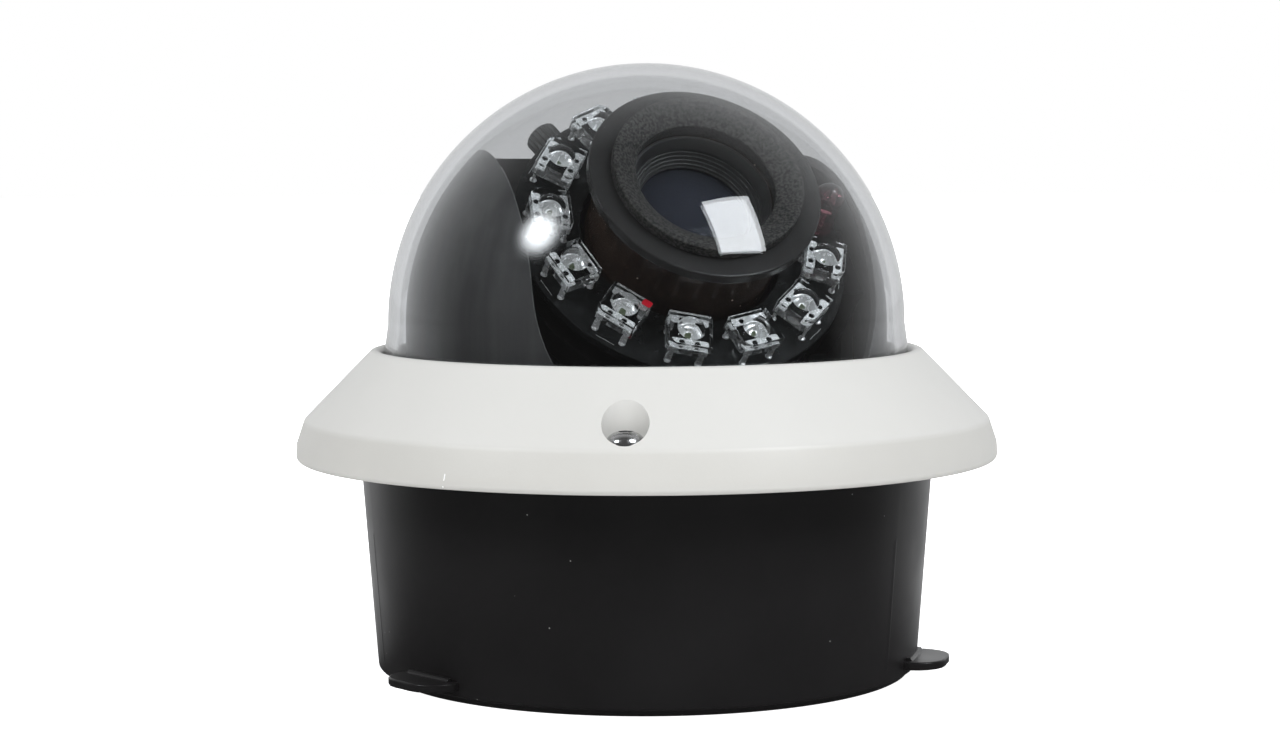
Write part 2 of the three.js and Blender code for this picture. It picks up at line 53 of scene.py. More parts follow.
record = frame["record"]
joints = {joint["name"]: joint for joint in frame["joints"]}
slot_of = {part["node"]: part["material_slot"] for part in record["subparts"]}
body_of = {node: body for body, nodes in record["behaviour"]["bodies"].items() for node in nodes}


def axes_at(x_axis, z_axis, origin):
    """Matrix from millimetres in a frame with these axes to metres in the row frame."""
    rows = (x_axis, z_axis.cross(x_axis), z_axis)
    facing = Matrix(rows).transposed().to_4x4()
    return Matrix.Translation(origin) @ facing @ Matrix.Scale(MM, 4)


tilt_axis = -Vector(joints["camera_tilt"]["axis"]).normalized()
lens_axis = Vector(joints["lens_rotation"]["axis"]).normalized()
gimbal_centre = Vector(joints["camera_tilt"]["pos_m"])
CAN = Matrix.Scale(MM, 4)
PAN = axes_at(tilt_axis, Vector((0, 0, 1)), Vector((0, 0, 0)))
LENS = axes_at(tilt_axis, lens_axis, gimbal_centre)


def measure(node, place=CAN):
    """(low, high, inner radius, outer radius) of a CAD node along the place's Z, in mm."""
    back = place.inverted()
    points = [back @ v.co for v in frame["nodes"][node].data.vertices]
    heights = [p.z for p in points]
    radii = [math.hypot(p.x, p.y) for p in points]
    return min(heights), max(heights), min(radii), max(radii)


# ---------- node helpers ----------

DUST = (0.28, 0.28, 0.27)        # colour of the specks


def new_material(name):
    """(material, its node tree, its shader)."""
    made = bpy.data.materials.new(name)
    made.use_nodes = True
    return made, made.node_tree, made.node_tree.nodes["Principled BSDF"]


def add(tree, kind, values=None, links=None, **settings):
    """A new node with these input values, links from sockets, and settings."""
    node = tree.nodes.new(kind)
    for key, value in settings.items():
        setattr(node, key, value)
    for key, value in (values or {}).items():
        node.inputs[key].default_value = value
    for key, source in (links or {}).items():
        tree.links.new(source, node.inputs[key])
    return node


def coordinates(tree, stretch=None):
    """Object coordinates in metres, squeezed or stretched along each axis if asked."""
    source = add(tree, "ShaderNodeTexCoord").outputs["Object"]
    if stretch is None:
        return source
    return add(tree, "ShaderNodeMapping", {"Scale": stretch}, {"Vector": source}).outputs[0]


def noise(tree, size_mm, detail=3.0, stretch=None):
    """Noise whose features are about size_mm across."""
    vector = coordinates(tree, stretch)
    values = {"Scale": 1 / (size_mm * MM), "Detail": detail}
    return add(tree, "ShaderNodeTexNoise", values, {"Vector": vector}).outputs["Fac"]


def spread(tree, source, low, high, start=0.3, end=0.7):
    """source mapped from start..end to low..high."""
    values = {"From Min": start, "From Max": end, "To Min": low, "To Max": high}
    return add(tree, "ShaderNodeMapRange", values, {"Value": source}).outputs["Result"]


def blend_colour(tree, factor, first, second):
    """Mix of two colours, each a tuple or a socket."""
    mix = add(tree, "ShaderNodeMix", data_type="RGBA")
    tree.links.new(factor, mix.inputs[0])
    for index, colour in ((6, first), (7, second)):
        if isinstance(colour, tuple):
            mix.inputs[index].default_value = (*colour, 1)
        else:
            tree.links.new(colour, mix.inputs[index])
    return mix.outputs[2]


def specks(tree, gap_mm, size):
    """1 on small scattered dots about gap_mm apart and 0 elsewhere."""
    values = {"Scale": 1 / (gap_mm * MM), "Randomness": 1.0}
    cells = add(tree, "ShaderNodeTexVoronoi", values, {"Vector": coordinates(tree)})
    near = add(tree, "ShaderNodeMath", {1: size}, {0: cells.outputs["Distance"]}, operation="LESS_THAN")
    chosen = add(tree, "ShaderNodeSeparateColor", links={0: cells.outputs["Color"]})
    some = add(tree, "ShaderNodeMath", {1: 0.4}, {0: chosen.outputs[0]}, operation="LESS_THAN")
    links = {0: near.outputs[0], 1: some.outputs[0]}
    return add(tree, "ShaderNodeMath", links=links, operation="MULTIPLY").outputs[0]


def bump(tree, shader, source, height_mm):
    """Bumps the shader's normal by source, height_mm deep."""
    values = {"Strength": 1.0, "Distance": height_mm * MM}
    node = add(tree, "ShaderNodeBump", values, {"Height": source})
    tree.links.new(node.outputs[0], shader.inputs["Normal"])


def surface(name, colour, roughness, tone=0.12, blotch_mm=14, grain_mm=0.5, grain_height=0.01,
            rough_spread=0.05, metallic=0.0, specular=0.5, dust=None, dust_size=0.035):
    """A finish with uneven tone, uneven gloss, fine grain and, where asked, specks dust mm apart."""
    made, tree, shader = new_material(name)
    dark = tuple(c * (1 - tone) for c in colour)
    light = tuple(min(1.0, c * (1 + tone)) for c in colour)
    tint = blend_colour(tree, spread(tree, noise(tree, blotch_mm, 5), 0, 1), dark, light)
    patches = noise(tree, blotch_mm * 0.45, 6)
    gloss = spread(tree, patches, roughness - rough_spread, roughness + rough_spread)
    if dust:
        tint = blend_colour(tree, specks(tree, dust, dust_size), tint, DUST)
    tree.links.new(tint, shader.inputs["Base Color"])
    tree.links.new(gloss, shader.inputs["Roughness"])
    shader.inputs["Metallic"].default_value = metallic
    shader.inputs["Specular IOR Level"].default_value = specular
    bump(tree, shader, noise(tree, grain_mm, 2), grain_height)
    return made


def clear(name, tint, ior, shade, roughness, ripple_mm, ripple_height, rim=None, haze=0.0):
    """Clear plastic that bends light, tinted rim where it is seen edge on.

    Light from the lamps passes it tinted by shade. haze is the share that its surface scatters.
    """
    made, tree, shader = new_material(name)
    shader.inputs["Transmission Weight"].default_value = 1 - haze
    shader.inputs["IOR"].default_value = ior
    dark = tuple(c * 0.985 for c in tint)
    tone = blend_colour(tree, spread(tree, noise(tree, ripple_mm, 3), 0, 1), dark, tint)
    if rim:
        slant = add(tree, "ShaderNodeLayerWeight", {"Blend": 0.5}).outputs["Facing"]
        tone = blend_colour(tree, spread(tree, slant, 0, 1, 0.62, 0.86), tone, rim)
    tree.links.new(tone, shader.inputs["Base Color"])
    gloss = spread(tree, noise(tree, ripple_mm * 0.3, 4), roughness * 0.5, roughness * 1.5)
    tree.links.new(gloss, shader.inputs["Roughness"])
    bump(tree, shader, noise(tree, ripple_mm, 1), ripple_height)
    out = tree.nodes["Material Output"]
    shadow = add(tree, "ShaderNodeBsdfTransparent", {"Color": (*shade, 1)})
    path = add(tree, "ShaderNodeLightPath")
    links = {0: path.outputs["Is Shadow Ray"], 1: shader.outputs[0], 2: shadow.outputs[0]}
    mix = add(tree, "ShaderNodeMixShader", links=links)
    tree.links.new(mix.outputs[0], out.inputs["Surface"])
    return made


# ---------- camera and light ----------

ROOM_FRONT = (0.062, 0.061, 0.061, 1)     # what is reflected from the viewer's side
ROOM_BACK = (0.86, 0.87, 0.88, 1)         # what is reflected from behind the object
ROOM_RAMP = (0.47, 0.91)                  # where the one turns into the other, 0 in front and 1 behind
SOFTBOX_TOWARD = (0.5754, -0.4897, 0.6550)
DISH_TOWARD = (-0.6733, -0.4334, 0.5949)
FILL_TOWARD = (-0.12, -0.78, 0.62)


def make_camera():
    """A long lens almost level with the dome's rim."""
    lens_mm, sensor_mm = 78.56, 36
    distance, height = 0.4864, 0.0892
    down, roll = math.radians(4.453), math.radians(-0.21)
    camera = bpy.data.objects.new("camera", bpy.data.cameras.new("camera"))
    bpy.context.scene.collection.objects.link(camera)
    camera.data.lens = lens_mm
    camera.data.sensor_width = sensor_mm
    camera.data.shift_x = -0.0051
    camera.data.clip_start = 0.01
    camera.data.clip_end = 100
    aim = Matrix.Rotation(math.pi / 2 - down, 4, "X") @ Matrix.Rotation(roll, 4, "Z")
    camera.matrix_world = Matrix.Translation((0, -distance, height)) @ aim
    bpy.context.scene.camera = camera


def area_light(name, toward, reach, size, power, shape="RECTANGLE", spin=0.0, colour=(1, 1, 1)):
    """A lamp at reach metres from the dome's centre, facing it, turned by spin degrees."""
    light = bpy.data.lights.new(name, "AREA")
    light.shape = shape
    light.size, light.size_y = size
    light.energy = power
    light.color = colour
    lamp = bpy.data.objects.new(name, light)
    bpy.context.scene.collection.objects.link(lamp)
    toward = Vector(toward).normalized()
    facing = toward.to_track_quat("Z", "Y").to_matrix().to_4x4()
    place = Matrix.Translation(gimbal_centre + toward * reach)
    lamp.matrix_world = place @ facing @ Matrix.Rotation(math.radians(spin), 4, "Z")
    return lamp


def make_lights():
    """A softbox on the right, a round dish on the left and a fill that shows in no reflection.

    The dish is a stack of ever wider discs, so that it fades from its centre to its edge.
    """
    area_light("softbox", SOFTBOX_TOWARD, 1.0, (0.355, 0.40), 5.0, spin=-8, colour=(0.93, 0.965, 1.0))
    for i in range(9):
        width = 0.12 + 0.045 * i
        radiance = 4.2 * math.exp(-((i - 2) / 3) ** 2)
        power = radiance * (math.pi * width / 2) ** 2
        area_light(f"dish_{i}", DISH_TOWARD, 1 + 0.01 * i, (width, width), power, "DISK",
                   colour=(0.93, 0.97, 1.0))
    fill = area_light("fill", FILL_TOWARD, 1.0, (0.5, 0.5), 3.7)
    fill.visible_glossy = False
    fill.visible_transmission = False


def make_world():
    """White behind the object and dimmer in front of it for light and reflections; the camera, also
    looking through clear pieces, sees white all round."""
    world = bpy.data.worlds.new("studio")
    bpy.context.scene.world = world
    world.use_nodes = True
    tree = world.node_tree
    tree.nodes.clear()
    where = add(tree, "ShaderNodeTexCoord").outputs["Generated"]
    parts = add(tree, "ShaderNodeSeparateXYZ", links={0: where})
    back = spread(tree, parts.outputs["Y"], 0, 1, -1, 1)
    ramp = add(tree, "ShaderNodeValToRGB", links={"Fac": back})
    stops = zip(ramp.color_ramp.elements, ROOM_RAMP, (ROOM_FRONT, ROOM_BACK))
    for stop, position, colour in stops:
        stop.position = position
        stop.color = colour
    room = add(tree, "ShaderNodeBackground", links={"Color": ramp.outputs["Color"]})
    white = add(tree, "ShaderNodeBackground", {"Color": (1, 1, 1, 1)})
    path = add(tree, "ShaderNodeLightPath")
    depths = {0: path.outputs["Glossy Depth"], 1: path.outputs["Diffuse Depth"]}
    bounced = add(tree, "ShaderNodeMath", links=depths, operation="ADD")
    straight = add(tree, "ShaderNodeMath", {1: 0.5}, {0: bounced.outputs[0]}, operation="LESS_THAN")
    links = {0: straight.outputs[0], 1: room.outputs[0], 2: white.outputs[0]}
    mix = add(tree, "ShaderNodeMixShader", links=links)
    add(tree, "ShaderNodeOutputWorld", links={0: mix.outputs[0]})


bpy.context.scene.view_settings.view_transform = "Standard"
make_camera()
make_world()
make_lights()


# ---------- materials ----------

def liner_material():
    """Satin black moulding with faint streaks down its sides and a little dust."""
    made, tree, shader = new_material("liner_gloss_black")
    streaks = noise(tree, 3.0, 4, (1, 1, 0.06))
    dark, light, speck = (0.052, 0.051, 0.051), (0.082, 0.080, 0.079), (0.25, 0.25, 0.25)
    tint = blend_colour(tree, spread(tree, streaks, 0, 1), dark, light)
    tree.links.new(blend_colour(tree, specks(tree, 3.5, 0.03), tint, speck), shader.inputs["Base Color"])
    tree.links.new(spread(tree, streaks, 0.30, 0.42), shader.inputs["Roughness"])
    shader.inputs["IOR"].default_value = 1.22
    shader.inputs["Specular IOR Level"].default_value = 0.5
    bump(tree, shader, noise(tree, 4, 2, (1, 1, 0.05)), 0.015)
    return made


def foam_material():
    """Dark foam with a close light and dark speckle."""
    made, tree, shader = new_material("foam_speckled")
    grit = noise(tree, 0.42, 2)
    dark, light = (0.020, 0.0195, 0.0185), (0.068, 0.065, 0.061)
    tint = blend_colour(tree, spread(tree, grit, 0, 1, 0.38, 0.62), dark, light)
    tree.links.new(tint, shader.inputs["Base Color"])
    tree.links.new(spread(tree, noise(tree, 1.2), 0.8, 0.95), shader.inputs["Roughness"])
    shader.inputs["Specular IOR Level"].default_value = 0.3
    bump(tree, shader, grit, 0.12)
    return made


def barrel_material():
    """Deep brown gloss plastic with bright flecks: small bumps, their glints painted into the colour."""
    made, tree, shader = new_material("barrel_brown_gloss")
    cloud = noise(tree, 5, 4)
    tint = blend_colour(tree, spread(tree, cloud, 0, 1), (0.014, 0.008, 0.006), (0.040, 0.025, 0.018))
    # flecks: painted glints of small bumps on the barrel
    flecks = blend_colour(tree, specks(tree, 2.2, 0.07), tint, (0.45, 0.38, 0.33))
    tree.links.new(flecks, shader.inputs["Base Color"])
    tree.links.new(spread(tree, noise(tree, 1.5), 0.10, 0.22), shader.inputs["Roughness"])
    shader.inputs["Coat Weight"].default_value = 0.5
    shader.inputs["Coat Roughness"].default_value = 0.06
    bump(tree, shader, noise(tree, 2.2, 2), 0.03)
    return made


def paint_material():
    """Warm white paint with a fine orange peel, and painted shade that greys the upright lower band."""
    made, tree, shader = new_material("ring_white_paint")
    mottle = spread(tree, noise(tree, 22, 5), 0, 1)
    slope = blend_colour(tree, mottle, (0.655, 0.645, 0.618), (0.675, 0.665, 0.638))
    # band: the same paint greyed as painted shade, since the upright band gets less light than the slope
    band = blend_colour(tree, mottle, (0.555, 0.544, 0.515), (0.58, 0.568, 0.537))
    parts = add(tree, "ShaderNodeSeparateXYZ", links={0: coordinates(tree)})
    above = spread(tree, parts.outputs["Z"], 0, 1, 0.0436, 0.0446)
    tree.links.new(blend_colour(tree, above, band, slope), shader.inputs["Base Color"])
    tree.links.new(spread(tree, noise(tree, 10, 6), 0.40, 0.48), shader.inputs["Roughness"])
    bump(tree, shader, noise(tree, 0.55, 2), 0.012)
    return made


MATERIALS = {
    "black_plastic": surface("can_black_plastic", (0.0115, 0.0107, 0.0111), 0.34, tone=0.18,
                             blotch_mm=30, grain_mm=0.28, grain_height=0.008, specular=0.30, dust=3.2),
    "black_rubber": surface("rubber_black", (0.012, 0.012, 0.012), 0.75, grain_mm=0.3,
                            grain_height=0.03),
    "white_paint": paint_material(),
    "clear_dome": clear("dome_clear", (0.735, 0.745, 0.755), 1.5, (0.85, 0.87, 0.88), 0.004, 30, 0.004,
                        rim=(0.36, 0.37, 0.375)),
    "stainless": surface("screw_stainless", (0.62, 0.62, 0.62), 0.24, tone=0.08, blotch_mm=3,
                         grain_mm=0.12, grain_height=0.004, rough_spread=0.06, metallic=1.0),
    "green_board": surface("board_green", (0.012, 0.055, 0.028), 0.32, grain_mm=1.4, grain_height=0.02),
    "chip_black": surface("chip_epoxy", (0.012, 0.012, 0.013), 0.55, grain_mm=0.15, grain_height=0.01),
    "cream_plastic": surface("connector_cream", (0.66, 0.63, 0.54), 0.45, tone=0.05),
    "zinc_casting": surface("zinc_die_cast", (0.42, 0.43, 0.44), 0.38, tone=0.1, grain_mm=0.4,
                            grain_height=0.02, metallic=1.0),
    "gloss_black": liner_material(),
    "knob_grey": surface("knob_grey_plastic", (0.020, 0.022, 0.020), 0.42, tone=0.15, blotch_mm=2,
                         grain_mm=0.2, grain_height=0.02),
    "black_board": surface("board_black_mask", (0.0075, 0.0080, 0.0078), 0.24, tone=0.2, blotch_mm=5,
                           grain_mm=0.8, grain_height=0.02, specular=0.45),
    "clear_epoxy": clear("lamp_epoxy", (0.99, 0.995, 0.995), 1.46, (0.95, 0.96, 0.96), 0.006, 3.0,
                         0.003),
    "red_epoxy": clear("sensor_red_epoxy", (0.50, 0.18, 0.23), 1.5, (0.7, 0.4, 0.42), 0.05, 4.0, 0.003),
    "lens_black": surface("lens_black_plastic", (0.042, 0.042, 0.041), 0.4, grain_mm=0.3,
                          grain_height=0.015),
    "barrel_brown": barrel_material(),
    "lens_glass": clear("coated_glass", (0.55, 0.6, 0.72), 1.12, (0.5, 0.5, 0.6), 0.004, 20, 0.001,
                        haze=0.028),
    "disc_grey": surface("disc_satin_grey", (0.031, 0.030, 0.029), 0.20, tone=0.08, blotch_mm=8,
                         grain_mm=0.25, grain_height=0.003, specular=0.5, dust=5, dust_size=0.03),
    "dark_foam": foam_material(),
}
lead_metal = surface("lead_silver", (0.93, 0.92, 0.90), 0.24, tone=0.10, blotch_mm=0.8, grain_mm=0.35,
                     grain_height=0.05, rough_spread=0.08, metallic=0.5)
print_white = surface("board_print_white", (0.30, 0.31, 0.30), 0.5, tone=0.1, blotch_mm=1, grain_mm=0.2)
# Grey of the bead along the liner's window: a painted highlight on the window's edge, its tone uneven
liner_edge = surface("liner_edge_highlight", (0.10, 0.10, 0.098), 0.3, tone=0.3, blotch_mm=2, grain_mm=0.3)
# White of the paint chip, brighter than the ring's paint: a painted highlight on a real chip
chip_white = surface("paint_chip_highlight", (0.95, 0.95, 0.95), 0.4, tone=0.03, blotch_mm=1, grain_mm=0.2)
chip_dark = surface("lamp_die", (0.10, 0.12, 0.07), 0.3, blotch_mm=0.5, grain_mm=0.1)
red_mark = surface("lamp_red_mark", (0.75, 0.01, 0.03), 0.4, tone=0.1, blotch_mm=0.5, grain_mm=0.1)

for node, obj in frame["nodes"].items():
    obj.data.materials.clear()
    obj.data.materials.append(MATERIALS[slot_of[node]])


# ---------- mesh helpers, all in millimetres ----------

TINY = 1e-6      # lengths below this count as nothing


def arc(cx, cz, radius, start, end, steps):
    """Points along an arc, in degrees, both ends included."""
    turns = [math.radians(start + (end - start) * i / steps) for i in range(steps + 1)]
    return [(cx + radius * math.cos(a), cz + radius * math.sin(a)) for a in turns]


def soften(outline, radius, steps=4):
    """The closed outline with its sharp corners rounded, except those on the axis."""
    made = []
    count = len(outline)
    for i, point in enumerate(outline):
        here = Vector(point)
        back = Vector(outline[i - 1]) - here
        on = Vector(outline[(i + 1) % count]) - here
        bare = abs(here.x) < TINY or back.length < TINY or on.length < TINY
        angle = math.pi if bare else back.angle(on)
        if angle > math.radians(160):
            made.append((here.x, here.y))
            continue
        reach = min(radius / math.tan(angle / 2), 0.45 * back.length, 0.45 * on.length)
        start = here + back.normalized() * reach
        end = here + on.normalized() * reach
        for step in range(steps + 1):
            t = step / steps
            curve = start * (1 - t) ** 2 + here * 2 * t * (1 - t) + end * t * t
            made.append((curve.x, curve.y))
    return made


def even_angles(sides):
    return [math.tau * i / sides for i in range(sides)]


def mesh_of(verts, faces):
    """A mesh with merged points and normals that face out."""
    mesh = bpy.data.meshes.new("piece")
    mesh.from_pydata([Vector(v) for v in verts], [], faces)
    work = bmesh.new()
    work.from_mesh(mesh)
    bmesh.ops.remove_doubles(work, verts=work.verts, dist=1e-5)
    bmesh.ops.recalc_face_normals(work, faces=work.faces)
    work.to_mesh(mesh)
    work.free()
    return mesh


def turned(outline, sides=MEDIUM, radius=0.15, angles=None, shape=None):
    """The closed (radius, height) outline turned about Z. shape(r, angle, z) may change a radius."""
    points = soften(outline, radius) if radius else outline
    angles = angles or even_angles(sides)
    verts, rings = [], []
    for r, z in points:
        if r < TINY:
            rings.append([len(verts)])
            verts.append((0, 0, z))
            continue
        rings.append(list(range(len(verts), len(verts) + len(angles))))
        for a in angles:
            reach = shape(r, a, z) if shape else r
            verts.append((reach * math.cos(a), reach * math.sin(a), z))
    faces = []
    for low, high in zip(rings, rings[1:] + rings[:1]):
        if len(low) == 1 and len(high) == 1:
            continue
        for i in range(len(angles)):
            j = (i + 1) % len(angles)
            corners = [low[i % len(low)], low[j % len(low)], high[j % len(high)], high[i % len(high)]]
            faces.append(list(dict.fromkeys(corners)))
    return mesh_of(verts, faces)


def bead(path, radius, sides=8):
    """A thin round bead along the points of path, closed at both ends."""
    verts, faces = [], []
    across = (path[1] - path[0]).orthogonal()
    for i, point in enumerate(path):
        ahead = (path[min(i + 1, len(path) - 1)] - path[max(i - 1, 0)]).normalized()
        across = (across - ahead * across.dot(ahead)).normalized()
        other = ahead.cross(across)
        for a in even_angles(sides):
            verts.append(point + (across * math.cos(a) + other * math.sin(a)) * radius)
    for i in range(len(path) - 1):
        for j in range(sides):
            k = (j + 1) % sides
            faces.append([i * sides + j, i * sides + k, (i + 1) * sides + k, (i + 1) * sides + j])
    faces += [list(range(sides)), list(range(len(verts) - sides, len(verts)))]
    return mesh_of(verts, faces)


def disc(radius, low, high, sides=SMALL, corner=0.15):
    return turned([(0, low), (radius, low), (radius, high), (0, high)], sides, corner)


def tube(inner, outer, low, high, sides=MEDIUM, corner=0.15):
    return turned([(inner, low), (outer, low), (outer, high), (inner, high)], sides, corner)


def slab(points, low, high, bevel=0.0, steps=2):
    """A flat outline raised from low to high, its edges bevelled."""
    points = [p for p, q in zip(points, points[-1:] + points[:-1]) if math.dist(p, q) > 1e-4]
    work = bmesh.new()
    face = work.faces.new([work.verts.new((x, y, low)) for x, y in points])
    raised = bmesh.ops.extrude_face_region(work, geom=[face])
    top = [v for v in raised["geom"] if isinstance(v, bmesh.types.BMVert)]
    bmesh.ops.translate(work, vec=(0, 0, high - low), verts=top)
    bmesh.ops.recalc_face_normals(work, faces=work.faces)
    if bevel:
        sharp = [e for e in work.edges if e.calc_face_angle(0) > math.radians(35)]
        bmesh.ops.bevel(work, geom=sharp, offset=bevel, segments=steps, profile=0.5,
                        affect="EDGES", clamp_overlap=True)
    mesh = bpy.data.meshes.new("slab")
    work.to_mesh(mesh)
    work.free()
    return mesh


def block(low, high, bevel=0.1):
    corners = [(low[0], low[1]), (high[0], low[1]), (high[0], high[1]), (low[0], high[1])]
    return slab(corners, low[2], high[2], bevel)


def rounded_rectangle(width, depth, radius, x=0.0, y=0.0, steps=5):
    w, d = width / 2 - radius, depth / 2 - radius
    points = []
    for cx, cy, start in ((w, d, 0), (-w, d, 90), (-w, -d, 180), (w, -d, 270)):
        points += arc(x + cx, y + cy, radius, start, start + 90, steps)
    return points


def moved(mesh, *matrices):
    """The mesh carried by each matrix in turn."""
    for matrix in matrices:
        mesh.transform(matrix)
    return mesh


def shift(x=0.0, y=0.0, z=0.0):
    return Matrix.Translation((x, y, z))


def turn(degrees, axis="Z"):
    return Matrix.Rotation(math.radians(degrees), 4, axis)


def at_angle(radius, degrees, z=0.0):
    a = math.radians(degrees)
    return shift(radius * math.cos(a), radius * math.sin(a), z)


def combined(base, tools, operation="DIFFERENCE"):
    """base with each tool cut away from it or joined to it."""
    scene = bpy.context.scene
    body = bpy.data.objects.new("work", base)
    scene.collection.objects.link(body)
    helpers = []
    for tool in tools:
        helper = bpy.data.objects.new("tool", tool)
        scene.collection.objects.link(helper)
        helpers.append(helper)
        cutter = body.modifiers.new("tool", "BOOLEAN")
        cutter.object = helper
        cutter.operation = operation
        cutter.solver = "EXACT"
    graph = bpy.context.evaluated_depsgraph_get()
    made = bpy.data.meshes.new_from_object(body.evaluated_get(graph))
    for used in (body, *helpers):
        bpy.data.objects.remove(used)
    return made


def joined(*meshes):
    """All the meshes as one, each with the material index of its place in the list."""
    work = bmesh.new()
    for index, mesh in enumerate(meshes):
        start = len(work.faces)
        work.from_mesh(mesh)
        work.faces.ensure_lookup_table()
        for face in work.faces[start:]:
            face.material_index = index
    made = bpy.data.meshes.new("joined")
    work.to_mesh(made)
    work.free()
    return made


def heap(meshes):
    """All the meshes as one with one material."""
    made = joined(*meshes)
    for face in made.polygons:
        face.material_index = 0
    return made


def weighted(mesh):
    """The mesh with normals that follow its large faces, so bevels round and flats stay flat."""
    body = bpy.data.objects.new("work", mesh)
    bpy.context.scene.collection.objects.link(body)
    body.modifiers.new("normals", "WEIGHTED_NORMAL").keep_sharp = True
    graph = bpy.context.evaluated_depsgraph_get()
    made = bpy.data.meshes.new_from_object(body.evaluated_get(graph))
    bpy.data.objects.remove(body)
    return made


def show(name, mesh, place, node, materials=None, extra=False, sharp=38):
    """Adds a piece that stands for a CAD node, or with extra rides beside it."""
    mesh.transform(place)
    for face in mesh.polygons:
        face.use_smooth = True
    mesh.set_sharp_from_angle(angle=math.radians(sharp))
    for used in materials or [MATERIALS[slot_of[node]]]:
        mesh.materials.append(used)
    mesh = weighted(mesh)
    mesh.name = name
    obj = bpy.data.objects.new(name, mesh)
    bpy.context.scene.collection.objects.link(obj)
    if not extra:
        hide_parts(node)
    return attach(obj, body_of[node])


# ---------- can ----------

WALL_R = 47.1                    # the can's wall at its lower edge
LUG_ANGLES = (105, 220.6, 345)
COVER_SCREW_ANGLES = (266.6, 26.6, 146.6)
COVER_SCREW_R = 55.8
CLAMP_SCREW_ANGLES = (326.6, 86.6, 206.6)
CLAMP_SCREW_R = 49.9
POST_ANGLES = (30, 150, 270)     # tall posts under the pan bearing plate
POST_R = 40.4
BOARD_POST = 29                  # short posts under the main board, from the axis
CREASE_ANGLES = (198.0, 327.7)   # faint moulding lines down the can's wall
CREASE_SPAN = (3.4, 26.0)


def can_mesh():
    """Drafted cup on a slightly smaller foot, with a flange at its top and its posts and lugs."""
    _, top, _, flange_r = measure("can_housing")
    draft, edge = 0.0747, 1.5
    foot_r = 45.8
    flange_low = 38.0
    wall = 2.2
    bottom, soft = 2.2, 0.3

    def wall_at(z):
        return WALL_R + draft * (z - edge)

    crease_low, crease_high = CREASE_SPAN
    crease_steps = (crease_low, crease_low + 0.6, crease_high - 0.8, crease_high)
    outline = [
        (0, 0), (foot_r - 0.5, 0), *arc(foot_r - 0.5, 0.5, 0.5, -90, 0, 5),
        (foot_r + 0.1, 0.8), (foot_r + 0.3, 1.1),
        *arc(WALL_R - 0.5, edge + 0.15, 0.5, -75, 0, 6),
        *[(wall_at(z), z) for z in crease_steps],
        (wall_at(flange_low - 1.2), flange_low - 1.2),
        *arc(wall_at(flange_low) + 1.0, flange_low - 1.0, 1.0, 180, 90, 4),
        (flange_r - soft, flange_low), (flange_r, flange_low + soft),
        (flange_r, top - soft), (flange_r - soft, top), (wall_at(top) - wall, top),
        (wall_at(3) - wall, bottom + 1.4), (wall_at(3) - wall - 1.4, bottom), (0, bottom),
    ]
    angles = even_angles(FINE)
    for crease in CREASE_ANGLES:
        middle = math.radians(crease)
        angles += [middle - 0.006, middle, middle + 0.006]
    angles = sorted(angles)

    def ridge(r, a, z):
        inside = crease_low < z < crease_high and r > foot_r
        near = any(abs(a - math.radians(c)) < 1e-4 for c in CREASE_ANGLES)
        return r + 0.07 if inside and near else r

    shell = turned(outline, angles=angles, radius=0, shape=ridge)
    return combined(shell, [lug_mesh(a) for a in LUG_ANGLES] + can_posts(), "UNION")


def lug_mesh(angle):
    """One flat round-ended lug, with a small fillet where it leaves the can's wall."""
    tip, inner, low, high, width = 53.1, 42.4, 2.4, 3.8, 14.4
    corner, fillet_r, fillet_half = 5.2, 0.5, 5.6
    plate = slab(rounded_rectangle(tip - inner, width, corner, (tip + inner) / 2), low, high, 0.3, 3)
    foot = WALL_R + 1.1
    root = [(WALL_R - 1.2, high - 0.5), (foot, high - 0.5), (foot, high)]
    root += arc(foot, high + fillet_r, fillet_r, 270, 180, 6)
    root += [(WALL_R - 1.2, high + fillet_r)]
    fillet = moved(slab(root, -fillet_half, fillet_half, 0.1), turn(90, "X"))
    return moved(combined(plate, [fillet], "UNION"), turn(angle))


def can_posts():
    """Three tall and three short posts that stand on the can's bottom."""
    tall = [moved(disc(3.6, 1.9, 14.7), at_angle(POST_R, a)) for a in POST_ANGLES]
    spots = ((-BOARD_POST, 0), (BOARD_POST, 0), (0, -BOARD_POST))
    short = [moved(disc(2.6, 1.9, 5.7), shift(x, y)) for x, y in spots]
    return tall + short


def make_can():
    """The can with its screw holes and, at the back, the cord's hole."""
    cuts = [moved(disc(1.8, 36, 44, 24, 0), at_angle(COVER_SCREW_R, a)) for a in COVER_SCREW_ANGLES]
    cuts += [moved(disc(1.6, 8, 20, 24, 0), at_angle(POST_R, a)) for a in POST_ANGLES]
    cuts += [moved(disc(1.2, 3, 8, 24, 0), shift(x, 0)) for x in (-BOARD_POST, BOARD_POST)]
    cord_hole = moved(disc(5.0, -1, 4, 48, 0), shift(0, 29))
    cuts.append(cord_hole)
    show("can_shell", combined(can_mesh(), cuts), CAN, "can_housing", sharp=32)


# ---------- trim ring and dome ----------

